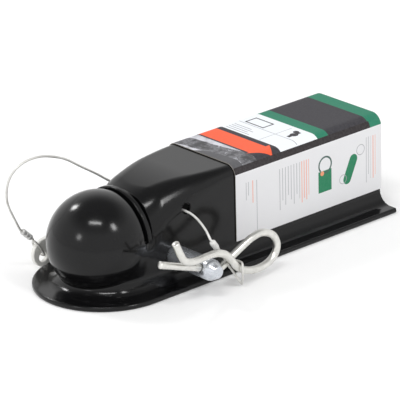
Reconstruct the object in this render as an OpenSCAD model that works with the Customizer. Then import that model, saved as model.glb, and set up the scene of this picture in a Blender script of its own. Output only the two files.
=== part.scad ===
/* [Tongue] */
// Length from the front of the rim to the tail, in mm
body_length = 238; // [190:1:300]
// Outside width of the tongue between its two walls, in mm
tongue_width = 57.6; // [52:0.2:70]
// Height of the tongue's flat top above the underside of the rim, in mm
tongue_height = 59; // [48:0.5:72]
// Thickness of the pressed steel, in mm
steel = 3.2; // [2.5:0.1:4]
// Outside radius of the two long top edges, in mm
edge_r = 6.5; // [5:0.5:9]
// Radius of the hollow where a wall turns out into the rim, in mm
flare_r = 8.6; // [6:0.1:11]
// Width across the whole rim, in mm
rim_width = 86; // [80:1:110]

/* [Socket] */
// Diameter of the hitch ball the socket takes, in mm
ball_d = 50.8; // [47.6:0.1:58.7]
// Free play between the ball and the dome's inside, in mm
ball_play = 1.9; // [0.5:0.1:3]
// Height of the ball's centre above the underside of the rim, in mm
ball_z = 27.5; // [25:0.5:36]
// Width of the slot behind the dome along the tongue, in mm
slot_w = 6.5; // [5.5:0.1:9]

/* [Locking pin] */
// Diameter of the locking pin, in mm
pin_d = 12.7; // [10:0.1:14]
// Height of the pin above the underside of the rim, in mm
pin_z = 17; // [14:0.5:22]
// Thickness of the pin's flat handle, in mm
handle_t = 3; // [2:0.5:5]

/* [Clip and lanyard] */
// Diameter of the spring clip's wire, in mm
wire_d = 4.5; // [3:0.1:5.4]
// Diameter of the lanyard cable, in mm
cable_d = 1.4; // [1:0.1:2]

/* [Card sleeve] */
// Thickness of the folded card, in mm
card_t = 0.5; // [0.4:0.1:1]
// Length of the card sleeve along the tongue, in mm
card_length = 119; // [80:1:140]

/* [Bolt holes] */
// Diameter of the two cross bolt holes, in mm
bolt_d = 13.5; // [10:0.5:14]
// Height of the cross bolt holes above the underside of the rim, in mm
bolt_z = 32; // [26:1:40]

/* [Hidden] */
$fn = 48;

wall_y = tongue_width / 2;
rim_y = rim_width / 2;
nose_x = 4.6;
tail_x = nose_x - rim_y + body_length;
mouth_x = 8;
mouth_r = ball_d / 2 + 0.2 + steel;
dome_r = ball_d / 2 + ball_play + steel;
slot_x = dome_r - 19;
slot_z = ball_z + 2.5;
slot_back = slot_x + slot_w;
skirt_z = slot_z - 3;
brow_x = slot_back + 12;
neck_x = slot_back + 32;
neck_y = wall_y - 3.3;
neck_z = slot_z + 18.6;
cable_x = 43.4;
cable_z = 43.5;

// Locking pin and its handle
pin_r = pin_d / 2;
seat_r = ball_d / 2 + 0.6;
clamp_r = seat_r + 3;
pin_x = sqrt(pow(clamp_r + pin_r + 0.3, 2) - pow(ball_z - pin_z, 2));
clip_y = -55;
cone_y = clip_y - pin_r + 1.8;
handle_y = rim_y + 0.5;
tab = [-4.5, 8.9];
tab_hole = [-5.9, 6.6];

// Ball clamp: a pressed plate with a lip that stands in the slot
clamp_y = neck_y - steel - 0.8;
lip_x = slot_x + 1.8;
lip_t = 3;
lip_r = dome_r - 1.1;
lip_bore = sqrt(seat_r * seat_r - lip_x * lip_x) - 0.5;

// Spring clip: along and across its straight leg, then sideways, from the pin's centre
wire_r = wire_d / 2;
clip_tilt = -19.4;
clip_route = [[-38, 0, 0], [-24, 0, 0], [-10, 0, 0], [2, 0, 0], [8, 0.1, 0], [11.2, 1.3, 0],
    [14, 4, 0], [18, 8.4, 0], [24, 14.3, 0], [30, 19.6, 0], [36.5, 23, 0], [43, 23.3, -0.2],
    [48.3, 21.3, -0.4], [51.5, 17, -0.7], [51.2, 11.8, -1.1], [47.6, 7, -1.6], [42, 3.6, -2.2],
    [35.5, 1.6, -2.8], [28.5, 1.1, -3.4], [22.5, 2, -4], [17.5, 3.9, -4.7], [14, 6.2, -5.1],
    [9.6, 8.9, -5.1], [4.6, 10.3, -5], [-1, 10, -4.9], [-8, 7.6, -4.8], [-15, 5, -4.8],
    [-20.5, 4.1, -4.8], [-24.5, 4.8, -4.8], [-28, 7.5, -4.8], [-34.7, 14.3, -4.8]];

// Lanyard: a long run through both walls, with an eye at each end; the clip's eye is placed
// from the pin's centre
cable_r = cable_d / 2;
clip_cuff = [[pin_x + 8.7, -50, pin_z + 12.4], [pin_x + 13.9, -50, pin_z + 5.1]];
pin_cuff = [[-20, 45, 26.7], [-13.5, 45, 20.4]];
cable_lead = unit(pin_cuff[0] - pin_cuff[1]);
clip_lead = unit(clip_cuff[0] - clip_cuff[1]);
cable_route = [pin_cuff[0] + 2 * cable_lead, [-25.3, 44.5, 35.3], [-30.4, 44, 46.3],
    [-31.4, 43.5, 54.8], [-29.6, 43, 61.9], [-25.7, 42, 67.2], [-18.9, 41, 70.7],
    [-9.9, 40, 71.4], [-1.8, 39, 69.8], [8.6, 38, 65.6], [18.4, 36.5, 58.9], [28.4, 35, 52.1],
    [36, 33.4, 46.4], [41.2, 31, 42.6], [cable_x, 27, 41.6], [cable_x, 14, 41],
    [cable_x, 0, 40.8], [cable_x, -14, 41], [cable_x, -27, 41.6], [43.2, -33.5, 41],
    [42.6, -40, 38.9], [41.8, -46, 35.6], [41.3, -49.3, 32.6], clip_cuff[0] + 2 * clip_lead];
pin_eye = [pin_cuff[1] - 2 * cable_lead, [-10.2, 47.7, 15.6], [-8, 48.4, 11.6],
    [-6.1, 47.6, 8.4], [-5.9, 45, 7.6], [-6.1, 42.4, 8.4], [-8, 41.9, 11.6],
    [-10.2, 42.3, 15.6], [-12.4, 43.8, 18.6]];
clip_eye = [clip_cuff[1] - 1.5 * clip_lead - [pin_x, 0, pin_z], [16, -50.8, 1.4],
    [18.1, -53, -4.1], [20.5, -55.2, -9], [22.2, -57.2, -13.4], [23, -58.8, -15.6],
    [22.3, -60.4, -13.4], [21, -62.2, -9], [20.3, -63, -4.8], [21.6, -61.2, -1.6],
    [22.2, -57.6, -1.5], [20.7, -53.2, -1], [17.6, -50.6, 1.6], [15.6, -49.6, 3.6]];

function unit(v) = v / norm(v);
function pick(p, i) = p[max(0, min(len(p) - 1, i))];
function along(a, b, c, d, t) = 0.5 * (2 * b + t * (c - a) + t * t * (2 * a - 5 * b + 4 * c - d)
    + t * t * t * (3 * b - a - 3 * c + d));
function smooth(p, n) = [
    for (i = [0 : len(p) - 2], j = [0 : n - 1])
        along(pick(p, i - 1), p[i], p[i + 1], pick(p, i + 2), j / n),
    p[len(p) - 1]
];
function heading(p, i) = unit(pick(p, i + 1) - pick(p, i - 1));
function level(q, t) = unit(q - (q * t) * t);
function frames(p, q) = [
    for (i = 0, s = level(q, heading(p, 0)); i < len(p); i = i + 1, s = level(s, heading(p, i))) s
];
function rings(p, q, r, n) = [
    for (i = [0 : len(p) - 1], k = [0 : n - 1])
        p[i] + r * (cos(360 * k / n) * q[i] + sin(360 * k / n) * cross(heading(p, i), q[i]))
];
function skin(m, n) = [
    for (i = [0 : m - 2], k = [0 : n - 1], h = [0, 1])
        h == 0 ? [i * n + k, i * n + n + k, i * n + n + (k + 1) % n]
        : [i * n + k, i * n + n + (k + 1) % n, i * n + (k + 1) % n]
];
function clip_point(c) = [
    pin_x + c[0] * cos(clip_tilt) - c[1] * sin(clip_tilt),
    clip_y + c[2] * (wire_d + 0.3) / 4.8,
    pin_z + c[0] * sin(clip_tilt) + c[1] * cos(clip_tilt)
];

module tube(p, r, n, side) {
    caps = [[for (k = [0 : n - 1]) k], [for (k = [n - 1 : -1 : 0]) (len(p) - 1) * n + k]];
    polyhedron(rings(p, frames(p, side), r, n), concat(skin(len(p), n), caps));
}

module rod(a, b, r) {
    d = b - a;
    translate(a)
        rotate([0, acos(d[2] / norm(d)), atan2(d[1], d[0])])
            cylinder(r = r, h = norm(d));
}

// Outline of the tongue across its length, with rounded top corners
module arch(half, top, low, r) {
    translate([-half, low]) square([2 * half, top - r - low]);
    translate([r - half, low]) square([2 * (half - r), top - low]);
    for (s = [-1, 1]) translate([s * (half - r), top - r]) circle(r);
}

// Half of the flare's outline, from the middle outwards past a wall at that distance
module flare(wall, depth, low) {
    difference() {
        translate([0, low]) square([wall + flare_r, steel + flare_r - low]);
        translate([wall + flare_r, steel + flare_r]) circle(flare_r + depth);
    }
}

// Plan of the walls: round at the socket's mouth, then straight to the tail
module footing(inset, back) {
    translate([mouth_x, 0]) circle(mouth_r - inset);
    translate([mouth_x, inset - wall_y]) square([back - mouth_x, tongue_width - 2 * inset]);
}

module run_x(x, length) {
    translate([x, 0, 0]) rotate([90, 0, 90]) linear_extrude(length) children();
}

// The flare swept round the socket's mouth and along both walls
module flare_sweep(depth, low, back) {
    translate([mouth_x, 0, 0]) rotate_extrude() flare(mouth_r, depth, low);
    run_x(mouth_x, tail_x + back - mouth_x) {
        flare(wall_y, depth, low);
        mirror([1, 0]) flare(wall_y, depth, low);
    }
}

// The neck and forehead between the slot and the flat top
module neck(inset, low) {
    front = [neck_y, neck_z, 12];
    middle = [wall_y - 1.2, neck_z + 0.54 * (tongue_height - neck_z), 10];
    back = [wall_y - 0.05, tongue_height - 0.05, edge_r];
    hull() {
        run_x(slot_back - 0.5, 0.1) arch(front[0] - inset, front[1] - inset, low, front[2] - inset);
        run_x(brow_x, 0.1) arch(middle[0] - inset, middle[1] - inset, low, middle[2] - inset);
    }
    hull() {
        run_x(brow_x, 0.1) arch(middle[0] - inset, middle[1] - inset, low, middle[2] - inset);
        run_x(neck_x, 0.1) arch(back[0] - inset, back[1] - inset, low, back[2] - inset);
    }
}

module pressing() {
    linear_extrude(steel) {
        translate([nose_x, 0]) circle(rim_y, $fn = 96);
        translate([nose_x, -rim_y]) square([tail_x - nose_x, rim_width]);
    }
    flare_sweep(0, 0, 0);
    linear_extrude(skirt_z) footing(0, tail_x);
    intersection() {
        translate([0, 0, ball_z]) sphere(dome_r);
        translate([-50, -50, 1]) cube([50 + slot_back + 0.6, 100, 100]);
    }
    neck(0, skirt_z - 4);
    run_x(neck_x - 2, tail_x - neck_x + 2) arch(wall_y, tongue_height, skirt_z, edge_r);
}

module hollow() {
    translate([0, 0, -1]) linear_extrude(skirt_z - steel + 1) footing(steel, tail_x + 1);
    flare_sweep(steel, -1, 1);
    intersection() {
        translate([0, 0, ball_z]) sphere(dome_r - steel);
        translate([-50, -50, 1]) cube([50 + slot_back + 0.6, 100, 100]);
    }
    neck(steel, skirt_z - steel - 3);
    run_x(neck_x - 3, tail_x - neck_x + 4)
        arch(wall_y - steel, tongue_height - steel, skirt_z - steel, edge_r - steel);
}

module cross_hole(x, z, r) {
    translate([x, 60, z]) rotate([90, 0, 0]) cylinder(r = r, h = 120);
}

module coupler_body() {
    color([0.03, 0.03, 0.03])
    difference() {
        pressing();
        hollow();
        // Slot behind the dome, with its back edge leaning away
        translate([0, 50, 0]) rotate([90, 0, 0]) linear_extrude(100)
            polygon([[slot_x, slot_z], [slot_back, slot_z], [slot_back + 2.4, slot_z + 32],
                [slot_x, slot_z + 32]]);
        cross_hole(pin_x, pin_z, pin_r + 0.45);
        cross_hole(cable_x, cable_z, 3);
        cross_hole(tail_x - 89.6, bolt_z, bolt_d / 2);
        cross_hole(tail_x - 24.6, bolt_z, bolt_d / 2);
    }
}

module clamp_plate(x, low, high, length) {
    intersection() {
        difference() {
            translate([0, 0, ball_z]) sphere(clamp_r);
            translate([0, 0, ball_z]) sphere(seat_r);
        }
        translate([x, -clamp_y, low]) cube([length, 2 * clamp_y, high - low]);
    }
}

module ball_clamp() {
    color([0.55, 0.56, 0.56])
    union() {
        clamp_plate(slot_back + 2, ball_z - 15.5, slot_z + 11, clamp_r);
        clamp_plate(lip_x, slot_z + 0.4, slot_z + 11, slot_w + 0.5);
        intersection() {
            translate([lip_x, 0, ball_z]) rotate([0, 90, 0])
                difference() {
                    cylinder(r = lip_r, h = lip_t, $fn = 72);
                    translate([0, 0, -1]) cylinder(r = lip_bore, h = lip_t + 2);
                }
            translate([lip_x - 1, -40, slot_z + 0.4]) cube([lip_t + 2, 80, 40]);
        }
    }
}

module pin_shank() {
    color([0.72, 0.73, 0.74])
    difference() {
        union() {
            translate([pin_x, handle_y + handle_t, pin_z]) rotate([90, 0, 0])
                cylinder(r = pin_r, h = handle_y + handle_t - cone_y);
            translate([pin_x, cone_y, pin_z]) rotate([90, 0, 0])
                cylinder(r1 = pin_r, r2 = 3.5, h = 5.5);
            translate([pin_x, handle_y + handle_t + 2.5, pin_z]) rotate([90, 0, 0])
                cylinder(r = pin_r + 1.8, h = 2.5);
        }
        translate([pin_x, clip_y, pin_z]) rotate([0, 90 - clip_tilt, 0])
            translate([0, 0, -12]) cylinder(r = wire_r + 0.3, h = 24);
    }
}

module pin_handle() {
    reach = [pin_x - tab[0], pin_z - tab[1]];
    color([0.78, 0.78, 0.77])
    translate([0, handle_y + handle_t, 0]) rotate([90, 0, 0])
        linear_extrude(handle_t)
            difference() {
                union() {
                    translate(tab) circle(8.7);
                    translate([pin_x, pin_z]) circle(10);
                    translate(tab) rotate(atan2(reach[1], reach[0]))
                        translate([0, -8.6]) square([norm(reach), 17.2]);
                }
                translate([pin_x, pin_z]) circle(pin_r + 0.3);
                translate(tab_hole) circle(3);
            }
}

module spring_clip() {
    color([0.8, 0.8, 0.78])
    tube([for (c = smooth(clip_route, 2)) clip_point(c)], wire_r, 16, [0, 1, 0]);
}

module lanyard_cable() {
    color([0.75, 0.75, 0.74])
    tube(concat([pin_cuff[0]], smooth(cable_route, 3), [clip_cuff[0]]), cable_r, 8, [0, 1, 0.1]);
}

module pin_cable_loop() {
    color([0.75, 0.75, 0.74])
    tube(concat([pin_cuff[1]], smooth(pin_eye, 3)), cable_r, 8, [0.7, 0, 0.7]);
}

module pin_ferrule() {
    color([0.7, 0.7, 0.7])
    rod(pin_cuff[0], pin_cuff[1], 1.9);
}

module clip_cable_loop() {
    route = [for (p = smooth(clip_eye, 3)) p + [pin_x, 0, pin_z]];
    color([0.8, 0.8, 0.79])
    tube(concat([clip_cuff[1]], route), cable_r, 8, [1, 0, 0.3]);
}

module clip_ferrule() {
    color([0.8, 0.8, 0.79])
    rod(clip_cuff[0], clip_cuff[1], 1.9);
}

module card_sleeve() {
    room = 0.3;
    low = steel + flare_r + 0.4;
    color([0.85, 0.86, 0.87])
    run_x(tail_x - card_length, card_length)
        difference() {
            arch(wall_y + room + card_t, tongue_height + room + card_t, low,
                edge_r + room + card_t);
            arch(wall_y + room, tongue_height + room, low - 1, edge_r + room);
        }
}

coupler_body();
ball_clamp();
pin_shank();
pin_handle();
spring_clip();
lanyard_cable();
pin_cable_loop();
pin_ferrule();
clip_cable_loop();
clip_ferrule();
card_sleeve();
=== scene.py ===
import itertools
import math
import bpy
import numpy as np
from mathutils import Matrix, Vector


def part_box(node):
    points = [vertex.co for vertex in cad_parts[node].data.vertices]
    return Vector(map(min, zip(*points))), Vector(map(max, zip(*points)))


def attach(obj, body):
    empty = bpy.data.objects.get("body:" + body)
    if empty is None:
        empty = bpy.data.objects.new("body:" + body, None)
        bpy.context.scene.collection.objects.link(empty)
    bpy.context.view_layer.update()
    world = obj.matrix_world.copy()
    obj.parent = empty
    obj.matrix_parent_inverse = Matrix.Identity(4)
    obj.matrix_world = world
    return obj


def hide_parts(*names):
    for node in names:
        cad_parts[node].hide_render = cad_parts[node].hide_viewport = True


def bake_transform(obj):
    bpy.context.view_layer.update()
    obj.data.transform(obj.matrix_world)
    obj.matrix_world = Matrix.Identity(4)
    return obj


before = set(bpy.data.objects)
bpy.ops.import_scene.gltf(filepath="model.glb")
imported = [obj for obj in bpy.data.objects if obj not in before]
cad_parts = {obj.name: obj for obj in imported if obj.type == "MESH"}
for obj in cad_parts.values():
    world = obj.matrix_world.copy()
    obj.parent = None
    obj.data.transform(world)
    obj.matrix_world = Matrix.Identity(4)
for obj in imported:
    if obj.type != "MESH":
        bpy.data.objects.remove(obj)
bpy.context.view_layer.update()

MM = 0.001
body_low, body_high = [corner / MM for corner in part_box("coupler_body")]
sleeve_low, sleeve_high = [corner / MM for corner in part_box("card_sleeve")]

# Sizes below are in millimetres. They follow the part's own source, with a finer neck.

# The pressing
TAIL_X = body_high.x
RIM_Y = body_high.y
TOP_Z = body_high.z
NOSE_X = body_low.x + RIM_Y
STEEL = 3.2
WALL_Y = 28.8
EDGE_R = 6.5
FLARE_R = 8.6
MOUTH_X = 8.0
DOME_R = 30.5
BALL_Z = 27.5
SLOT_X = 11.5
SLOT_Z = 30.0
SLOT_BACK = 18.0
SKIRT_Z = 27.0
LEAN = 0.075  # how far a leaning face goes over for each millimetre it rises
LEAN_SCALE = 1.003

# The neck: its top falls on an arc, its walls lean in and its front is a flared tube
BROW_X = 54.0
BROW_R = 125.0
LEAN_X = 43.7
LEAN_Z = 38.3
FUNNEL_Z = 26.0
FUNNEL_R = 28.3
FUNNEL_FLARE = 0.62
FUNNEL_CURVE = 0.02
FUNNEL_LENGTH = 40
FUNNEL_SCALE = 1.25
SHOULDER = 39.9

# Holes in the walls
BOLT_X = (TAIL_X - 89.6, TAIL_X - 24.6)
BOLT_Z = 32.0
BOLT_R = 6.75
PIN_ROOM = 0.45
CABLE_X = 43.4
CABLE_Z = 43.5
CABLE_HOLE_R = 3.0

# The ball clamp: part of a ball's shell, with a bridge up to a lip in the slot
SEAT_R = 26.0
CLAMP_R = 29.0
CLAMP_Y = 21.5
CLAMP_DROP = 15.5
CLAMP_RISE = 11
LIP_X = 13.3
LIP_T = 3.0
LIP_R = 29.4
LIP_BORE = 21.84
LIP_GAP = 0.4

# The locking pin and its handle
PIN_R = 6.35
PIN_X = 34.07
PIN_Z = 17.0
CLIP_Y = -55.0
CONE_Y = -59.55
CONE_LENGTH = 5.5
CONE_SLOPE = 0.518
CONE_SCALE = 1.126
HEAD_OVER = 1.8
HEAD_T = 2.5
HANDLE_Y = 43.5
HANDLE_T = 3.0
HANDLE_SEAT = 0.3
BOSS_R = 10
BAR_HALF = 8.6
TAB = (-4.5, 8.9)
TAB_R = 8.7
TAB_HOLE = (-5.9, 6.6)
TAB_HOLE_R = 3.0

# The spring clip, the lanyard and the card
WIRE_R = 2.25
WIRE_ROOM = 0.3
CABLE_R = 0.7
CUFF_R = 1.9
CARD_T = 0.5
CARD_ROOM = 0.3


# ---------------------------------------------------------------- camera
CAMERA_AZIMUTH = math.radians(-41.72)
CAMERA_ELEVATION = math.radians(21.93)
CAMERA_ROLL = math.radians(-1.3)
CAMERA_TARGET = Vector((78.907, 0, 30.61)) * MM
CAMERA_DISTANCE = 2.2143
CAMERA_LENS = 338.65


def place_camera():
    """Sets the camera, and returns the directions to its right, to its top and behind it."""
    a, e, r = CAMERA_AZIMUTH, CAMERA_ELEVATION, CAMERA_ROLL
    back = Vector((math.sin(a) * math.cos(e), -math.cos(a) * math.cos(e), math.sin(e)))
    level = Vector((math.cos(a), math.sin(a), 0))
    upward = back.cross(level)
    right = math.cos(r) * level + math.sin(r) * upward
    top = math.cos(r) * upward - math.sin(r) * level
    data = bpy.data.cameras.new("camera")
    data.lens = CAMERA_LENS
    data.sensor_width = 36
    data.clip_start = 0.05
    data.clip_end = 60
    camera = bpy.data.objects.new("camera", data)
    bpy.context.collection.objects.link(camera)
    turn = Matrix((right, top, back)).transposed().to_4x4()
    camera.matrix_world = Matrix.Translation(CAMERA_TARGET + CAMERA_DISTANCE * back) @ turn
    bpy.context.scene.camera = camera
    return right, top, back


camera_right, camera_top, camera_back = place_camera()


# ---------------------------------------------------------------- shader helpers
class Amount:
    """A number in a shader, on which sums are written as plain expressions."""

    def __init__(self, finish, socket):
        self.finish = finish
        self.socket = socket

    def __add__(self, other):
        return self.finish.sum("ADD", self, other)

    def __radd__(self, other):
        return self.finish.sum("ADD", other, self)

    def __sub__(self, other):
        return self.finish.sum("SUBTRACT", self, other)

    def __rsub__(self, other):
        return self.finish.sum("SUBTRACT", other, self)

    def __mul__(self, other):
        return self.finish.sum("MULTIPLY", self, other)

    def __rmul__(self, other):
        return self.finish.sum("MULTIPLY", other, self)

    def __truediv__(self, other):
        return self.finish.sum("DIVIDE", self, other)

    def __gt__(self, other):
        return self.finish.sum("GREATER_THAN", self, other)

    def __lt__(self, other):
        return self.finish.sum("LESS_THAN", self, other)

    def __abs__(self):
        return self.finish.sum("ABSOLUTE", self)


class Finish:
    """One material or world, and the nodes that make it."""

    def __init__(self, name=None, world=None):
        self.owner = world or bpy.data.materials.new(name)
        self.owner.use_nodes = True
        self.tree = self.owner.node_tree
        self.tree.nodes.clear()

    def node(self, kind, settings=None, **inputs):
        """Adds a node; the settings may hold a ramp's stops or sockets picked by number."""
        made = self.tree.nodes.new("ShaderNode" + kind)
        for key, value in (settings or {}).items():
            if key == "stops":
                self.fill_ramp(made.color_ramp, value)
            elif key != "sockets":
                setattr(made, key, value)
        named = dict((settings or {}).get("sockets", {}))
        named.update({key.replace("_", " "): value for key, value in inputs.items()})
        for key, value in named.items():
            self.feed(made.inputs[key], value)
        return made

    def feed(self, socket, value):
        """Links or sets one input, whichever the value calls for."""
        if isinstance(value, Amount):
            value = value.socket
        if isinstance(value, bpy.types.NodeSocket):
            self.tree.links.new(value, socket)
        elif isinstance(value, tuple) and len(value) == 3 and socket.type == "RGBA":
            socket.default_value = (*value, 1)
        else:
            socket.default_value = value

    def fill_ramp(self, ramp, stops):
        """Sets a ramp's (place, grey level) stops."""
        while len(ramp.elements) < len(stops):
            ramp.elements.new(0.5)
        for element, (place, level) in zip(ramp.elements, stops):
            element.position = place
            element.color = (level, level, level, 1)

    def sum(self, operation, *values):
        settings = {"operation": operation, "sockets": dict(enumerate(values))}
        return Amount(self, self.node("Math", settings).outputs[0])

    def mix(self, first, second, share):
        settings = {"data_type": "RGBA", "sockets": {0: share, 6: first, 7: second}}
        return self.node("Mix", settings).outputs[2]

    def place(self, kind="Object"):
        return self.node("TexCoord").outputs[kind]

    def axes(self, scale=1000, kind="Object"):
        """The three coordinates at each point, in millimetres unless scaled otherwise."""
        parts = self.node("SeparateXYZ", Vector=self.place(kind))
        return [Amount(self, parts.outputs[k]) * scale for k in range(3)]

    def noise(self, scale, detail=3, roughness=0.5, vector=None):
        made = self.node("TexNoise", Vector=vector or self.place(), Scale=scale,
                         Detail=detail, Roughness=roughness)
        return Amount(self, made.outputs["Fac"])

    def cells(self, scale, feature="F1", vector=None):
        made = self.node("TexVoronoi", {"feature": feature}, Vector=vector or self.place(),
                         Scale=scale)
        return Amount(self, made.outputs["Distance"])

    def ramp(self, value, *stops):
        made = self.node("ValToRGB", {"stops": stops}, Fac=value)
        return Amount(self, made.outputs["Color"])

    def bump(self, height, distance, strength=1.0):
        made = self.node("Bump", Height=height, Distance=distance, Strength=strength)
        return made.outputs["Normal"]

    def surface(self, **inputs):
        shader = self.node("BsdfPrincipled", **inputs)
        self.node("OutputMaterial", Surface=shader.outputs[0])
        return self.owner


def tone(red, green, blue):
    """A colour as it is written on a screen, turned to linear light."""
    parts = []
    for level in (red, green, blue):
        level = level / 255
        parts.append(level / 12.92 if level < 0.04045 else ((level + 0.055) / 1.055) ** 2.4)
    return tuple(parts)


# ---------------------------------------------------------------- finishes
def black_gloss_paint():
    """Gloss black over steel, with a slight orange peel and a little dust."""
    f = Finish("black_gloss_paint")
    peel = f.noise(900, 2)
    fine = f.noise(2600, 1)
    cloud = f.noise(38, 4, 0.6)
    dust = f.ramp(f.noise(1500, 2), (0.62, 0), (0.72, 1))
    colour = f.mix(tone(10, 10, 11), tone(17, 17, 18), cloud)
    colour = f.mix(colour, tone(48, 48, 50), dust * 0.25)
    return f.surface(
        Base_Color=colour,
        Roughness=0.13 + 0.06 * cloud + 0.06 * dust,
        IOR=1.36,
        Normal=f.bump(peel * 0.8 + fine * 0.2, 0.00004, 0.35),
    )


def bright_zinc(name, dark, light, rough, metal, streaks=(1, 1, 1)):
    """Bright plating with a faint spangle and drawing marks stretched by the streaks."""
    f = Finish(name)
    stretched = f.node("Mapping", Vector=f.place(), Scale=streaks).outputs[0]
    cloud = f.noise(160, 4, 0.6)
    drawn = f.noise(900, 3, vector=stretched)
    spangle = f.cells(420)
    colour = f.mix(tone(*dark), tone(*light), cloud * 0.5 + drawn * 0.35 + spangle * 0.3)
    return f.surface(
        Base_Color=colour,
        Metallic=metal,
        Roughness=rough + 0.14 * cloud + 0.1 * drawn,
        Normal=f.bump(drawn * 0.7 + spangle * 0.3, 0.00002, 0.25),
    )


def coated_cable(name, dark, light, metal):
    """Wire rope or its coating, with grime in patches."""
    f = Finish(name)
    cloud = f.noise(500, 3)
    grime = f.ramp(f.noise(90, 3), (0.45, 0), (0.75, 1))
    colour = f.mix(tone(*light), tone(*dark), grime * 0.6 + cloud * 0.2)
    return f.surface(Base_Color=colour, Metallic=metal, Roughness=0.32 + 0.2 * cloud,
                     Normal=f.bump(cloud, 0.00003))


# ---------------------------------------------------------------- shaping with fields
def join(a, b, r):
    """Union of two solids, with a hollow of radius r where they meet."""
    return np.maximum(r, np.minimum(a, b)) - np.hypot(np.maximum(r - a, 0), np.maximum(r - b, 0))


def trim(a, b, r):
    """What two solids share, with its edge rounded to radius r."""
    return np.minimum(-r, np.maximum(a, b)) + np.hypot(np.maximum(r + a, 0), np.maximum(r + b, 0))


def ease(value, start, end):
    """A smooth step from 0 at the start to 1 at the end."""
    t = np.clip((value - start) / (end - start), 0, 1)
    return t * t * (3 - 2 * t)


def skin(x, y, z, overlap):
    """The pressing's outer skin. The neck and dome reach into each other by the overlap."""
    side = np.abs(y)
    plan = np.hypot(np.maximum(MOUTH_X - x, 0), y) - WALL_Y
    brow = np.hypot(np.maximum(BROW_X - x, 0), z + BROW_R - TOP_Z) - BROW_R
    rise = 0.714 * (z - LEAN_Z) - 0.7 * (x - LEAN_X)
    lean = (side - WALL_Y + LEAN * rise) / LEAN_SCALE
    run = np.clip(x - SLOT_BACK, 0, FUNNEL_LENGTH)
    funnel = np.hypot(y, z - FUNNEL_Z) - FUNNEL_R - FUNNEL_FLARE * run - FUNNEL_CURVE * run ** 2
    funnel = funnel / FUNNEL_SCALE
    front = SLOT_BACK - 0.6 - overlap - x
    above = join(trim(funnel, front, 2), z - SKIRT_Z, 5)
    shoulder = 0.75 * side + 0.6 * z - 0.28 * x - SHOULDER
    # the top edges grow rounder towards the front, in two steps
    edge = EDGE_R + 2 * (1 - ease(x, 60, 80)) + 3 * (1 - ease(x, 24, 52))
    shell = trim(trim(trim(plan, lean, 2), brow, edge), shoulder, 6)
    tongue = trim(shell, above, 4)
    foot = join(tongue, z - STEEL, FLARE_R)
    dome = np.sqrt(x * x + y * y + (z - BALL_Z) ** 2) - DOME_R
    dome = trim(dome, x - SLOT_BACK - overlap, 1)
    # the dome meets the rim sharply at the nose and more softly beside the slot
    return join(foot, dome, 1.2 + 2.4 * ease(x, -6, 10))


def bored(solid, across, along, centre, radius, edge):
    """The solid with a straight hole through it, whose two ends are rounded by the edge."""
    return trim(solid, radius - np.hypot(across - centre[0], along - centre[1]), edge)


def pressing_field(x, y, z):
    """The sheet between two skins, trimmed to its rim and tail, then slotted and bored."""
    sheet = trim(skin(x, y, z, 0), -skin(x, y, z, 4) - STEEL, 0.5)
    rim = np.hypot(np.maximum(NOSE_X - x, 0), y) - RIM_Y
    sheet = trim(sheet, rim, 1.2)
    sheet = trim(sheet, x - TAIL_X, 0.6)
    slot_rear = (x - SLOT_BACK - LEAN * (z - SLOT_Z)) / LEAN_SCALE
    slot = trim(trim(SLOT_X - x, slot_rear, 1.5), SLOT_Z - z, 1.5)
    sheet = trim(sheet, -slot, 0.5)
    sheet = bored(sheet, x, z, (PIN_X, PIN_Z), PIN_R + PIN_ROOM, 0.5)
    sheet = bored(sheet, x, z, (CABLE_X, CABLE_Z), CABLE_HOLE_R, 0.6)
    for hole_x in BOLT_X:
        sheet = bored(sheet, x, z, (hole_x, BOLT_Z), BOLT_R, 0.5)
    return sheet


def clamp_field(x, y, z):
    """The plate behind the ball, the bridge over its top and the lip that shows."""
    reach = np.sqrt(x * x + y * y + (z - BALL_Z) ** 2)
    shell = trim(reach - CLAMP_R, SEAT_R - reach, 0.5)
    wide = np.abs(y) - CLAMP_Y
    high = z - SLOT_Z - CLAMP_RISE
    plate = trim(shell, np.maximum(SLOT_BACK + 2 - x, wide), 0.5)
    plate = trim(plate, np.maximum(BALL_Z - CLAMP_DROP - z, high), 0.5)
    bridge = trim(shell, np.maximum(LIP_X - x, x - SLOT_BACK - 3), 0.5)
    bridge = trim(bridge, np.maximum(SLOT_Z + LIP_GAP - z, high), 0.5)
    bridge = trim(bridge, wide, 0.5)
    around = np.hypot(y, z - BALL_Z)
    lip = trim(np.maximum(LIP_X - x, x - LIP_X - LIP_T), around - LIP_R, 0.7)
    lip = trim(lip, LIP_BORE - around, 0.5)
    lip = trim(lip, SLOT_Z + LIP_GAP - z, 0.5)
    return np.minimum(join(plate, bridge, 0.5), lip)


def pin_field(x, y, z):
    """A round pin with a coned end, a head behind the handle and a cross hole."""
    out = np.hypot(x - PIN_X, z - PIN_Z)
    back = HANDLE_Y + HANDLE_T
    cone = (out - PIN_R + (CONE_Y - y) * CONE_SLOPE) / CONE_SCALE
    shank = trim(trim(out - PIN_R, y - back, 0.3), cone, 0.5)
    shank = trim(shank, CONE_Y - CONE_LENGTH - y, 0.5)
    head = trim(out - PIN_R - HEAD_OVER, y - back - HEAD_T, 1.2)
    head = trim(head, back + 0.02 - y, 0.4)
    solid = np.minimum(shank, head)
    tilt = math.radians(CLIP_TILT)
    across = (z - PIN_Z) * math.cos(tilt) - (x - PIN_X) * math.sin(tilt)
    return bored(solid, across, y, (0, CLIP_Y), WIRE_R + WIRE_ROOM, 0.45)


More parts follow.
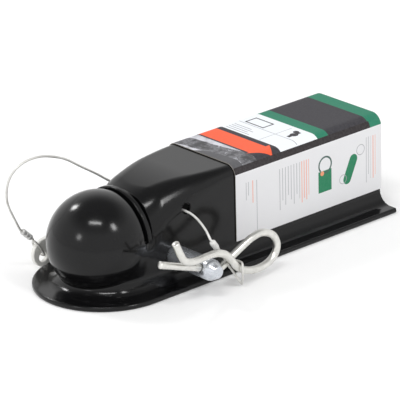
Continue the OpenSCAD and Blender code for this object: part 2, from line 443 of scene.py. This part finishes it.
def handle_field(x, y, z):
    """A flat bar from the pin to a round tab with the lanyard's hole in it."""
    reach = Vector((PIN_X - TAB[0], PIN_Z - TAB[1]))
    run = reach.normalized()
    along = (x - TAB[0]) * run.x + (z - TAB[1]) * run.y
    across = (z - TAB[1]) * run.x - (x - TAB[0]) * run.y
    tab = np.hypot(x - TAB[0], z - TAB[1]) - TAB_R
    boss = np.hypot(x - PIN_X, z - PIN_Z) - BOSS_R
    bar = np.maximum(np.abs(across) - BAR_HALF, np.maximum(-along, along - reach.length))
    plan = join(np.minimum(tab, boss), bar, 0.3)
    plan = bored(plan, x, z, (PIN_X, PIN_Z), PIN_R + HANDLE_SEAT, 0.2)
    plan = bored(plan, x, z, TAB_HOLE, TAB_HOLE_R, 0.1)
    thick = np.abs(y - HANDLE_Y - HANDLE_T / 2) - HANDLE_T / 2
    return trim(plan, thick, 0.7)


# Cells left round a piece. The odd share keeps flat faces off the grid's planes.
NET_BEFORE = 1.53
NET_AFTER = 2.6


def net(field, low, high, cell):
    """Corners and four-sided faces of the field's surface."""
    marks = [np.arange(low[k] - NET_BEFORE * cell, high[k] + NET_AFTER * cell, cell)
             for k in range(3)]
    x, y, z = np.meshgrid(*marks, indexing="ij", sparse=True)
    value = np.broadcast_to(field(x, y, z), [len(m) for m in marks])
    inside = value < 0
    shape = np.array(value.shape) - 1
    corners = list(itertools.product((0, 1), repeat=3))
    count = np.zeros(shape, np.int8)
    for i, j, k in corners:
        count += inside[i:shape[0] + i, j:shape[1] + j, k:shape[2] + k]
    busy = (count > 0) & (count < 8)
    cell_index = np.full(shape, -1, np.int64)
    cell_index[busy] = np.arange(int(busy.sum()))
    places = np.argwhere(busy)
    at = {c: value[tuple((places + c).T)] for c in corners}
    total = np.zeros((len(places), 3))
    hits = np.zeros(len(places))
    for start in corners:
        for axis in range(3):
            if start[axis]:
                continue
            end = tuple(start[k] + (k == axis) for k in range(3))
            a, b = at[start], at[end]
            crossed = (a < 0) != (b < 0)
            share = np.where(crossed, a / np.where(crossed, a - b, 1), 0)
            spot = np.array(start, float) + share[:, None] * np.eye(3)[axis]
            total += crossed[:, None] * spot
            hits += crossed
    origin = np.array([m[0] for m in marks])
    points = origin + cell * (places + total / hits[:, None])
    faces = []
    for axis in range(3):
        b, c = (axis + 1) % 3, (axis + 2) % 3
        first = np.take(inside, np.arange(value.shape[axis] - 1), axis)
        second = np.take(inside, np.arange(1, value.shape[axis]), axis)
        edge = np.argwhere(first != second)
        edge = edge[(edge[:, b] > 0) & (edge[:, c] > 0)]
        edge = edge[(edge[:, b] < shape[b]) & (edge[:, c] < shape[c])]
        back_b, back_c = np.eye(3, dtype=int)[b], np.eye(3, dtype=int)[c]
        ring = [edge - back_b - back_c, edge - back_c, edge, edge - back_b]
        quad = np.stack([cell_index[tuple(r.T)] for r in ring], 1)
        outward = first[tuple(edge.T)]
        quad[~outward] = quad[~outward][:, ::-1]
        faces.append(quad)
    return points, np.concatenate(faces)


def slope(field, points, step=0.02):
    """The field's gradient at each point."""
    parts = []
    for axis in range(3):
        shift = np.zeros(3)
        shift[axis] = step
        ahead = field(*(points + shift).T)
        behind = field(*(points - shift).T)
        parts.append((ahead - behind) / (2 * step))
    return np.stack(parts, 1)


def settle(field, points, rounds=3, limit=0.4):
    """Moves points onto the field's surface."""
    for _ in range(rounds):
        grade = slope(field, points)
        move = field(*points.T)[:, None] * grade / np.maximum((grade ** 2).sum(1), 0.05)[:, None]
        long = np.linalg.norm(move, axis=1)[:, None]
        points = points - move * np.minimum(1, limit / np.maximum(long, 1e-9))
    return points


RELAX_SHARE = 0.6


def relax(field, points, faces, rounds):
    """Evens out the faces by moving points to their neighbours' mean, along the surface."""
    pairs = np.concatenate([faces[:, [k, (k + 1) % 4]] for k in range(4)])
    ends = np.concatenate([pairs[:, 0], pairs[:, 1]])
    others = np.concatenate([pairs[:, 1], pairs[:, 0]])
    count = np.bincount(ends, minlength=len(points))[:, None]
    for _ in range(rounds):
        mean = np.stack(
            [np.bincount(ends, points[others, k], len(points)) for k in range(3)], 1) / count
        points = settle(field, points + RELAX_SHARE * (mean - points), 1)
    return points


def add_mesh(name, points, faces, material, sharp=None):
    """A mesh object from points in millimetres."""
    mesh = bpy.data.meshes.new(name)
    mesh.from_pydata((np.array(points, float) * MM).tolist(), [], [list(f) for f in faces])
    mesh.update()
    mesh.shade_smooth()
    if sharp is not None:
        mesh.set_sharp_from_angle(angle=math.radians(sharp))
    mesh.materials.append(material)
    made = bpy.data.objects.new(name, mesh)
    bpy.context.collection.objects.link(made)
    return made


def carve(name, field, low, high, cell, keep, material):
    """A piece whose surface is a field's, thinned where it is flat."""
    points, faces = net(field, low, high, cell)
    points = settle(field, points, 3)
    points = relax(field, points, faces, 2)
    made = add_mesh(name, points, faces, material)
    if keep < 1:
        thin = made.modifiers.new("thin", "DECIMATE")
        thin.ratio = keep
        graph = bpy.context.evaluated_depsgraph_get()
        mesh = bpy.data.meshes.new_from_object(made.evaluated_get(graph))
        made.modifiers.clear()
        old, made.data = made.data, mesh
        bpy.data.meshes.remove(old)
        mesh.name = name
    mesh = made.data
    place = np.empty(len(mesh.vertices) * 3)
    mesh.vertices.foreach_get("co", place)
    place = settle(field, place.reshape(-1, 3) / MM, 3, 0.1)
    mesh.vertices.foreach_set("co", (place * MM).ravel())
    mesh.update()
    mesh.shade_smooth()
    normal = slope(field, place, 0.03)
    normal /= np.maximum(np.linalg.norm(normal, axis=1), 1e-9)[:, None]
    mesh.normals_split_custom_set_from_vertices(normal.tolist())
    return made


# ---------------------------------------------------------------- wires and cables
def vector(*numbers):
    return np.array(numbers, float)


def unit(v):
    return v / np.linalg.norm(v)


def smooth_route(points, steps):
    """The same smooth curve through the given points as the part's source draws."""
    p = [np.array(q, float) for q in points]
    route = []
    for i in range(len(p) - 1):
        a, b, c, d = p[max(i - 1, 0)], p[i], p[i + 1], p[min(i + 2, len(p) - 1)]
        for j in range(steps):
            t = j / steps
            route.append(0.5 * (2 * b + t * (c - a) + t * t * (2 * a - 5 * b + 4 * c - d)
                                + t ** 3 * (3 * b - a - 3 * c + d)))
    route.append(p[-1])
    return np.array(route)


# Twisted rope: the share of its radius in the hollows, and what a strand's crown adds
STRAND_ROOT = 0.80
STRAND_CROWN = 0.22


def along_route(lengths, values, place):
    """The value at a place along a route, between the values at its points."""
    return vector(*[np.interp(place, lengths, values[:, k]) for k in range(3)])


def sweep(name, route, rings, sides, side, material, strands=0, lay=0.0, sharp=40):
    """A tube of given (place along the route, radius) rings, round or twisted from strands."""
    route = np.array(route, float)
    lengths = np.concatenate([[0], np.cumsum(np.linalg.norm(np.diff(route, axis=0), axis=1))])
    heading = np.gradient(route, lengths, axis=0)
    heading /= np.linalg.norm(heading, axis=1)[:, None]
    aside = []
    guide = np.array(side, float)
    for tangent in heading:
        guide = unit(guide - guide.dot(tangent) * tangent)
        aside.append(guide)
    aside = np.array(aside)
    points, faces = [], []
    for s, radius in rings:
        centre = along_route(lengths, route, s)
        tangent = unit(along_route(lengths, heading, s))
        across = along_route(lengths, aside, s)
        across = unit(across - across.dot(tangent) * tangent)
        other = np.cross(tangent, across)
        for k in range(sides):
            angle = 2 * math.pi * k / sides
            r = radius
            if strands:
                wave = abs(math.cos(strands / 2 * (angle - lay * s)))
                r = radius * (STRAND_ROOT + STRAND_CROWN * wave ** 0.7)
            points.append(centre + r * (math.cos(angle) * across + math.sin(angle) * other))
    for i in range(len(rings) - 1):
        for k in range(sides):
            n = (k + 1) % sides
            faces.append((i * sides + k, i * sides + n, (i + 1) * sides + n, (i + 1) * sides + k))
    faces.append(tuple(range(sides - 1, -1, -1)))
    faces.append(tuple((len(rings) - 1) * sides + k for k in range(sides)))
    return add_mesh(name, points, faces, material, sharp)


def route_length(route):
    """The length of a line through the points."""
    return float(np.linalg.norm(np.diff(np.array(route), axis=0), axis=1).sum())


def even_rings(length, radius, step, ends=0.0):
    """Rings along a tube, with its two ends chamfered."""
    count = max(2, int(length / step))
    inner = [(length * i / count, radius) for i in range(1, count)]
    first = [(0, radius - ends), (ends, radius)] if ends else [(0, radius)]
    last = [(length - ends, radius), (length, radius - ends)] if ends else [(length, radius)]
    return first + inner + last


# The clip's wire: (along its straight leg, across it, sideways) from the pin's cross hole
CLIP_TILT = -19.4
CLIP_ROUTE = [
    (-38, 0, 0), (-24, 0, 0), (-10, 0, 0), (2, 0, 0), (8, 0.1, 0), (11.2, 1.3, 0),
    (14, 4, 0), (18, 8.4, 0), (24, 14.3, 0), (30, 19.6, 0), (36.5, 23, 0), (43, 23.3, -0.2),
    (48.3, 21.3, -0.4), (51.5, 17, -0.7), (51.2, 11.8, -1.1), (47.6, 7, -1.6), (42, 3.6, -2.2),
    (35.5, 1.6, -2.8), (28.5, 1.1, -3.4), (22.5, 2, -4), (17.5, 3.9, -4.7), (14, 6.2, -5.1),
    (9.6, 8.9, -5.1), (4.6, 10.3, -5), (-1, 10, -4.9), (-8, 7.6, -4.8), (-15, 5, -4.8),
    (-20.5, 4.1, -4.8), (-24.5, 4.8, -4.8), (-28, 7.5, -4.8), (-34.7, 14.3, -4.8),
]

# The lanyard: its two pressed cuffs, the runs between them and the eyes past them
CLIP_CUFF = (vector(PIN_X + 8.7, -50, PIN_Z + 12.4), vector(PIN_X + 13.9, -50, PIN_Z + 5.1))
PIN_CUFF = (vector(-20, 45, 26.7), vector(-13.5, 45, 20.4))
CABLE_LEAD = unit(PIN_CUFF[0] - PIN_CUFF[1])
CLIP_LEAD = unit(CLIP_CUFF[0] - CLIP_CUFF[1])
CABLE_MIDDLE = (CABLE_X, 0, 40.8)
FAR_ROUTE = [
    PIN_CUFF[0], PIN_CUFF[0] + 2 * CABLE_LEAD, (-25.3, 44.5, 35.3), (-30.4, 44, 46.3),
    (-31.4, 43.5, 54.8), (-29.6, 43, 61.9), (-25.7, 42, 67.2), (-18.9, 41, 70.7),
    (-9.9, 40, 71.4), (-1.8, 39, 69.8), (8.6, 38, 65.6), (18.4, 36.5, 58.9), (28.4, 35, 52.1),
    (36, 33.4, 46.4), (41.2, 31, 42.6), (CABLE_X, 27, 41.6), (CABLE_X, 14, 41), CABLE_MIDDLE,
]
NEAR_ROUTE = [
    CABLE_MIDDLE, (CABLE_X, -14, 41), (CABLE_X, -27, 41.6), (43.2, -33.5, 41),
    (42.6, -40, 38.9), (41.8, -46, 35.6), (41.3, -49.3, 32.6), CLIP_CUFF[0] + 2 * CLIP_LEAD,
    CLIP_CUFF[0],
]
PIN_EYE = [
    PIN_CUFF[1], PIN_CUFF[1] - 2 * CABLE_LEAD, (-10.2, 47.7, 15.6), (-8, 48.4, 11.6),
    (-6.1, 47.6, 8.4), (-5.9, 45, 7.6), (-6.1, 42.4, 8.4), (-8, 41.9, 11.6),
    (-10.2, 42.3, 15.6), (-12.4, 43.8, 18.6),
]
PIN_CENTRE = vector(PIN_X, 0, PIN_Z)
CLIP_EYE = [CLIP_CUFF[1], CLIP_CUFF[1] - 1.5 * CLIP_LEAD] + [
    PIN_CENTRE + vector(*p) for p in (
        (16, -50.8, 1.4), (18.1, -53, -4.1), (20.5, -55.2, -9), (22.2, -57.2, -13.4),
        (23, -58.8, -15.6), (22.3, -60.4, -13.4), (21, -62.2, -9), (20.3, -63, -4.8),
        (21.6, -61.2, -1.6), (22.2, -57.6, -1.5), (20.7, -53.2, -1), (17.6, -50.6, 1.6),
        (15.6, -49.6, 3.6))
]


def clip_point(along, across, sideways):
    """A place on the clip, turned to lie as it does through the pin."""
    tilt = math.radians(CLIP_TILT)
    return (PIN_X + along * math.cos(tilt) - across * math.sin(tilt), CLIP_Y + sideways,
            PIN_Z + along * math.sin(tilt) + across * math.cos(tilt))


# Cuff outlines: (place along it, share of its radius)
PLAIN_CUFF = [(0, 0.7), (0.05, 0.93), (0.1, 1), (0.56, 1), (0.62, 0.98), (0.66, 0.74),
              (0.9, 0.72), (1, 0.56)]
PRESSED_CUFF = [(0, 0.72), (0.04, 0.9), (0.1, 1), (0.26, 1), (0.3, 0.86), (0.38, 0.84), (0.42, 1),
                (0.58, 1), (0.62, 0.86), (0.7, 0.84), (0.74, 1), (0.9, 1), (0.96, 0.9), (1, 0.72)]


def crimped_cuff(name, ends, radius, steps, material):
    """A sleeve pressed on the cable, with the outline that its steps give."""
    length = route_length(ends)
    rings = [(length * place, radius * share) for place, share in steps]
    return sweep(name, ends, rings, 28, (0.3, 1, 0.2), material, sharp=28)


CABLE_LAY = 0.9  # how fast the strands turn, in radians for each millimetre
COATED_SHARE = 0.98


def add_cable(name, route, steps, sides, material, strands, side=(0, 1, 0.1)):
    """A cable along the route, twisted if it has strands, and its path in metres."""
    path = smooth_route(route, steps)
    radius = CABLE_R * (1.0 if strands else COATED_SHARE)
    rings = even_rings(route_length(path), radius, 0.8 if strands else 1.2)
    return sweep(name, path, rings, sides, side, material, strands, CABLE_LAY), path * MM


cable_finish = coated_cable("bright_cable", (158, 156, 152), (224, 223, 219), 0.5)
coated_finish = coated_cable("coated_cable_white", (175, 174, 170), (236, 236, 233), 0.0)
far_cable, far_path = add_cable("lanyard_far_run", FAR_ROUTE, 6, 18, cable_finish, 6)
near_cable, near_path = add_cable("lanyard_near_run", NEAR_ROUTE, 6, 14, coated_finish, 0)
pin_eye = add_cable("lanyard_pin_eye", PIN_EYE, 8, 18, cable_finish, 6, (0.7, 0, 0.7))[0]
clip_eye = add_cable("lanyard_clip_eye", CLIP_EYE, 8, 18, cable_finish, 6, (1, 0, 0.3))[0]
cuff_finish = coated_cable("pressed_cuff_metal", (150, 149, 146), (232, 232, 230), 0.35)
pin_cuff = crimped_cuff("lanyard_pin_cuff", PIN_CUFF, CUFF_R, PRESSED_CUFF, cuff_finish)
clip_cuff = crimped_cuff("lanyard_clip_cuff", CLIP_CUFF, CUFF_R, PLAIN_CUFF, coated_finish)

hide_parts("lanyard_cable")
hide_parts("lanyard_cable")
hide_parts("pin_cable_loop")
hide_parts("clip_cable_loop")
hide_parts("pin_ferrule")
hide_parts("clip_ferrule")
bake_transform(far_cable)
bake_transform(near_cable)
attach(pin_eye, "lock_pin")
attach(pin_cuff, "lock_pin")
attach(clip_eye, "clip")
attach(clip_cuff, "clip")


# ---------------------------------------------------------------- the pressed housing
HOUSING_CELL = 0.9
HOUSING_KEEP = 0.45

paint = black_gloss_paint()
housing = carve("pressed_housing", pressing_field, tuple(body_low), tuple(body_high),
                HOUSING_CELL, HOUSING_KEEP, paint)
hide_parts("coupler_body")
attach(housing, "housing")


def node_box(name):
    """The low and high corners of one of the part's pieces, in millimetres."""
    return [tuple(corner / MM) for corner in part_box(name)]


# ---------------------------------------------------------------- clamp, pin and clip
clamp = carve("ball_clamp_plate", clamp_field, *node_box("ball_clamp"), 0.8, 0.6, paint)
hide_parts("ball_clamp")
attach(clamp, "ball_clamp")

shank_finish = bright_zinc("zinc_plated_pin", (180, 185, 194), (218, 221, 226),
                           0.16, 0.85, (1, 0.05, 1))
plate_finish = bright_zinc("zinc_plated_plate", (222, 222, 218), (242, 241, 236), 0.42, 0.15)
wire_finish = bright_zinc("zinc_plated_wire", (196, 195, 190), (236, 235, 230),
                          0.17, 0.92, (0.1, 1, 0.2))
pin = carve("locking_pin", pin_field, *node_box("pin_shank"), 0.5, 0.6, shank_finish)
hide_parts("pin_shank")
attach(pin, "lock_pin")
handle = carve("pin_handle_plate", handle_field, *node_box("pin_handle"), 0.6, 0.5, plate_finish)
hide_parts("pin_handle")
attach(handle, "lock_pin")

clip_path = smooth_route([clip_point(*p) for p in CLIP_ROUTE], 8)
clip_rings = even_rings(route_length(clip_path), WIRE_R, 1.0, 0.35)
clip = sweep("spring_clip_wire", clip_path, clip_rings, 32, (0, 1, 0), wire_finish, sharp=50)
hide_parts("spring_clip")
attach(clip, "clip")


# ---------------------------------------------------------------- the printed card sleeve
# Print on the card, in millimetres from the ball's centre: x runs along the tongue, y across
# its top and z up its sides. A box is (from, to) on the first axis, then on the second.
TOP_FROM = 53.8
PICTURE_END = 99.5
SHAFT = (101, 114.6, -20, 40)
WHITE_PANEL = (118.6, 148.6)
GREEN_BAND = (148.6, 157.4)
TAIL_BAND = 189.6
EDGE_BAND_Y = 27.6
EDGE_BAND_END = 190.5
FRAME_OUTSIDE = (134, 143.5, 4, 20)
FRAME_INSIDE = (135, 142.5, 5, 19)
PANEL_GRID = [(132.2, 132.7, -27, 24), (119.5, 146, -8.4, -8)]
TAG = (147.2, 158, 23.4, 36.9)
PILL = (173.6, 31.9)
PILL_HALF = 6.2
PILL_R = 3.2
THIN_RULE = (97, 97.5, 14.5, 46.5)

# Groups of thin lines: box, distance between lines, share of it inked, raggedness
PANEL_LINES = [((120.5, 129, 2, 22), 2.3, 0.28, 6)]
WARM_LINES = [
    ((133.4, 139.5, 21.8, 48), 1.9, 0.3, 4),
    ((93.8, 95.6, 33, 47), 1.9, 0.3, 2),
    ((192.4, 194.6, 21, 48.4), 1.9, 0.3, 3),
]
GREY_LINES = [
    ((115.5, 132, 22, 48), 2.3, 0.24, 9),
    ((88.6, 92.2, 36, 47), 1.8, 0.26, 4),
    ((186.8, 190.6, 19.5, 48.6), 1.8, 0.24, 8),
]


def printed_card():
    """White card with plain bands over its top and plain lines and shapes on its sides."""
    f = Finish("printed_card_sleeve")
    x, y, z = f.axes()

    def within(value, low, high):
        return (value > low) * (value < high)

    def panel(u, v, box):
        return within(u, box[0], box[1]) * within(v, box[2], box[3])

    def disc(u, v, centre, radius):
        across, along = u - centre[0], v - centre[1]
        return (across * across + along * along) < radius * radius

    def hoop(u, v, centre, radius, width):
        return disc(u, v, centre, radius) * (1 - disc(u, v, centre, radius - width))

    def either(*parts):
        total = parts[0]
        for part in parts[1:]:
            total = f.sum("MAXIMUM", total, part)
        return total

    def rules(u, v, groups):
        """Plain thin lines that run along v, side by side along u."""
        drawn = []
        for box, pitch, share, ragged in groups:
            place = (u - box[0]) / pitch
            uneven = f.sum("FRACT", f.sum("FLOOR", place) * 0.618) * ragged
            line = (f.sum("FRACT", place) < share) * within(u, box[0], box[1])
            drawn.append(line * (v > box[2] + uneven) * (v < box[3]))
        return either(*drawn)

    board = tone(226, 226, 228)
    panel_white = tone(240, 244, 248)
    ink_dark = tone(44, 42, 49)
    ink_edge = tone(30, 22, 25)
    ink_green = tone(10, 122, 92)
    ink_deep_green = tone(10, 122, 82)
    ink_hoop = tone(60, 92, 84)
    ink_orange = tone(250, 92, 48)
    ink_warm = tone(236, 158, 132)
    ink_peach = tone(232, 150, 110)
    ink_grey = tone(160, 160, 165)
    ink_pale_grey = tone(176, 176, 180)
    grain = f.noise(700, 3)
    fibre = f.noise(2400, 2)

    # Top, front end: a cloudy grey picture with a darker band across it
    blot = f.noise(130, 4, 0.6)
    sway = f.noise(55, 3, 0.5)
    band = abs(x - 91 + 0.16 * y) < (5.5 + 9 * (sway - 0.5))
    block = f.ramp(blot, (0.38, 0.05), (0.46, 0.1), (0.52, 0.2), (0.58, 0.09), (0.64, 0.42))
    pale = f.ramp(blot, (0.36, 0.3), (0.5, 0.56), (0.66, 0.7))
    near = y < -6 - 1.1 * (x - 92)
    shades = band * block + (1 - band) * (near * 0.09 + (1 - near) * pale)
    picture = f.node("CombineColor", Red=shades, Green=shades, Blue=shades * 1.08).outputs[0]
    colour = f.mix(ink_dark, picture, x < PICTURE_END)

    # Then an orange arrow, a white panel and two green bands
    head = (y > -28) * (y < -19) * (abs(x - 108.2 + 0.34 * (y + 19)) < (y + 28.2) * 1.02)
    colour = f.mix(colour, ink_orange, either(panel(x, y, SHAFT), head))
    white_panel = within(x, *WHITE_PANEL)
    colour = f.mix(colour, panel_white, white_panel)
    colour = f.mix(colour, ink_green, within(x, *GREEN_BAND))
    colour = f.mix(colour, ink_green, x > TAIL_BAND)

    # Plain outlines on the white panel
    frame_lines = panel(x, y, FRAME_OUTSIDE) * (1 - panel(x, y, FRAME_INSIDE))
    grid = either(*[panel(x, y, box) for box in PANEL_GRID])
    blob = either(disc(x, y, (139.5, -17), 2.6), panel(x, y, (134.5, 144.5, -18.2, -15.6)),
                  disc(x, y, (143.5, -14.6), 1.9))
    colour = f.mix(colour, ink_dark, white_panel * either(frame_lines, blob))
    colour = f.mix(colour, ink_grey, white_panel * either(grid, rules(x, y, PANEL_LINES)))

    # Rounded edges: one dark band to the tail stripe
    edge_band = (abs(y) > EDGE_BAND_Y) * (1 - (x > EDGE_BAND_END))
    colour = f.mix(colour, ink_edge, edge_band)

    # Side: thin plain lines and simple green shapes
    grey_lines = either(rules(x, z, GREY_LINES), panel(x, z, THIN_RULE))
    side = f.mix(board, ink_warm, rules(x, z, WARM_LINES))
    side = f.mix(side, ink_pale_grey, grey_lines)
    loop = hoop(x, z, (152.8, 40.4), 5.6, 1.1) * (1 - (z < 37) * (x < 150))
    across = (x - PILL[0]) * 0.90 - (z - PILL[1]) * 0.42
    along = (z - PILL[1]) * 0.90 + (x - PILL[0]) * 0.42
    pill = either((abs(across) < PILL_R) * (abs(along) < PILL_HALF),
                  disc(across, along, (0, PILL_HALF), PILL_R),
                  disc(across, along, (0, -PILL_HALF), PILL_R))
    side = f.mix(side, ink_deep_green, either(panel(x, z, TAG), pill))
    side = f.mix(side, ink_hoop, loop)
    outline = either(hoop(x, z, (182.2, 42), 3.4, 0.4), hoop(x, z, (167.5, 27), 3.0, 0.4))
    side = f.mix(side, ink_grey, outline)
    side = f.mix(side, ink_peach, disc(x, z, (150.4, 35.4), 1.5))

    colour = f.mix(side, colour, z > TOP_FROM)
    lit = f.mix(colour, tone(255, 255, 255), grain * 0.05)
    shade = f.mix(lit, tone(96, 94, 92), fibre * 0.05)
    return f.surface(Base_Color=shade, Roughness=0.5 + 0.12 * grain, IOR=1.28,
                     Normal=f.bump(fibre * 0.6 + grain * 0.4, 0.00003, 0.5))


def card_edge_board():
    """The bare grey board that shows inside the fold and at its cut edges."""
    f = Finish("bare_card_board")
    fibre = f.noise(1800, 3)
    colour = f.mix(tone(120, 116, 110), tone(168, 163, 156), fibre)
    return f.surface(Base_Color=colour, Roughness=0.85, Normal=f.bump(fibre, 0.00005))


CARD_STATIONS = 60
CARD_BELLY = 0.08  # how far the sides bow in, within the room they have


def arch_profile(half, top, low, radius, steps=14):
    """Outline of the folded card across its length, from one lower edge over to the other."""
    right = [(half, low + (top - radius - low) * k / 8) for k in range(8)]
    for k in range(steps + 1):
        angle = math.pi / 2 * k / steps
        right.append((half - radius + radius * math.cos(angle),
                      top - radius + radius * math.sin(angle)))
    flat = [(half - radius - (2 * (half - radius)) * k / 12, top) for k in range(1, 12)]
    left = [(-y, z) for y, z in reversed(right)]
    return right + flat + left


def fold_card():
    """The card folded over the tongue: printed outside, bare inside and at its cut edges."""
    half, top, low = sleeve_high.y, sleeve_high.z, sleeve_low.z
    outer = arch_profile(half, top, low, EDGE_R + CARD_ROOM + CARD_T)
    inner = arch_profile(half - CARD_T, top - CARD_T, low, EDGE_R + CARD_ROOM)
    section = outer + inner[::-1]
    count = len(section)
    points, faces, bare_faces = [], [], []
    for i in range(CARD_STATIONS + 1):
        x = sleeve_low.x + (sleeve_high.x - sleeve_low.x) * i / CARD_STATIONS
        for y, z in section:
            flat_side = ease(z, low + 2, low + 12) * (1 - ease(z, top - 14, top - 7))
            belly = CARD_BELLY * math.sin(3.1 * (x - 80) / 119) * float(flat_side)
            points.append((x, y - math.copysign(belly, y), z))
    for i in range(CARD_STATIONS):
        for k in range(count):
            n = (k + 1) % count
            faces.append((i * count + k, i * count + n, (i + 1) * count + n, (i + 1) * count + k))
            bare_faces.append(k >= len(outer) - 1)
    for i, turn in ((0, 1), (CARD_STATIONS, -1)):
        for k in range(len(outer) - 1):
            quad = (i * count + k, i * count + count - 1 - k,
                    i * count + count - 2 - k, i * count + k + 1)
            faces.append(quad[::turn])
            bare_faces.append(True)
    made = add_mesh("printed_card_wrap", points, faces, printed_card(), 40)
    made.data.materials.append(card_edge_board())
    for face, bare in zip(made.data.polygons, bare_faces):
        face.material_index = int(bare)
    return made



card = fold_card()
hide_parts("card_sleeve")
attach(card, "sleeve")


# ---------------------------------------------------------------- floor, lamps and world
FLOOR_GLOW = 0.12
FLOOR_HALF = 9000.0
FLOOR_Z = -0.05
CEILING = 0.32


def pale_floor():
    """A near-white floor that looks white where the object's shadow isn't on it."""
    f = Finish("pale_floor")
    cloud = f.noise(3, 2)
    colour = f.mix(tone(240, 240, 240), tone(244, 244, 244), cloud)
    path = f.node("LightPath")
    seen = Amount(f, path.outputs["Is Camera Ray"]) + Amount(f, path.outputs["Is Glossy Ray"])
    seen = seen + Amount(f, path.outputs["Is Transmission Ray"])
    shader = f.node("BsdfPrincipled", Base_Color=colour, Roughness=0.9)
    glow = f.node("Emission", Color=(1.0, 1.0, 1.0), Strength=FLOOR_GLOW * seen)
    both = f.node("AddShader")
    f.tree.links.new(shader.outputs[0], both.inputs[0])
    f.tree.links.new(glow.outputs[0], both.inputs[1])
    f.node("OutputMaterial", Surface=both.outputs[0])
    return f.owner


floor_corners = [(x * FLOOR_HALF, y * FLOOR_HALF, FLOOR_Z)
                 for x, y in ((-1, -1), (1, -1), (1, 1), (-1, 1))]
floor = add_mesh("floor", floor_corners, [(0, 1, 2, 3)], pale_floor())


def light_world():
    """A pale studio: white to a little above the horizon, and a darker ceiling."""
    world = bpy.data.worlds.new("studio")
    bpy.context.scene.world = world
    f = Finish(world=world)
    height = f.axes(1, "Generated")[2]
    level = f.ramp(height, (0.0, 1.0), (0.54, 1.0), (0.84, CEILING), (1.0, CEILING))
    shade = f.node("Background", Color=(1.0, 1.0, 1.0), Strength=level)
    f.node("OutputWorld", Surface=shade.outputs[0])


light_world()
bpy.context.scene.view_settings.view_transform = "Standard"


DOME_CENTRE = vector(0, 0, BALL_Z)


def softbox(name, right, up, distance, size, power):
    """A lamp whose reflection in the dome shows that far right of and above its middle."""
    aside, top, back = (np.array(v) for v in (camera_right, camera_top, camera_back))
    normal = right * aside + up * top + math.sqrt(1 - right ** 2 - up ** 2) * back
    way = 2 * normal.dot(back) * normal - back
    data = bpy.data.lights.new(name, "AREA")
    data.shape = "RECTANGLE"
    data.size, data.size_y = size
    data.energy = power
    lamp = bpy.data.objects.new(name, data)
    lamp.location = Vector(DOME_CENTRE * MM + distance * way)
    lamp.rotation_euler = Vector(-way).to_track_quat("-Z", "Y").to_euler()
    bpy.context.collection.objects.link(lamp)


# Name, where it shows in the dome, distance and size in metres, and power in watts
softbox("left_softbox", -0.448, 0.634, 1.6, (0.24, 0.27), 5.4)
softbox("overhead_softbox", -0.049, 0.349, 1.9, (0.78, 0.125), 8.6)
softbox("right_softbox", 0.292, 0.273, 1.9, (0.26, 0.4), 6.5)
softbox("low_softbox", -0.353, 0.083, 2.0, (0.31, 0.34), 3.1)
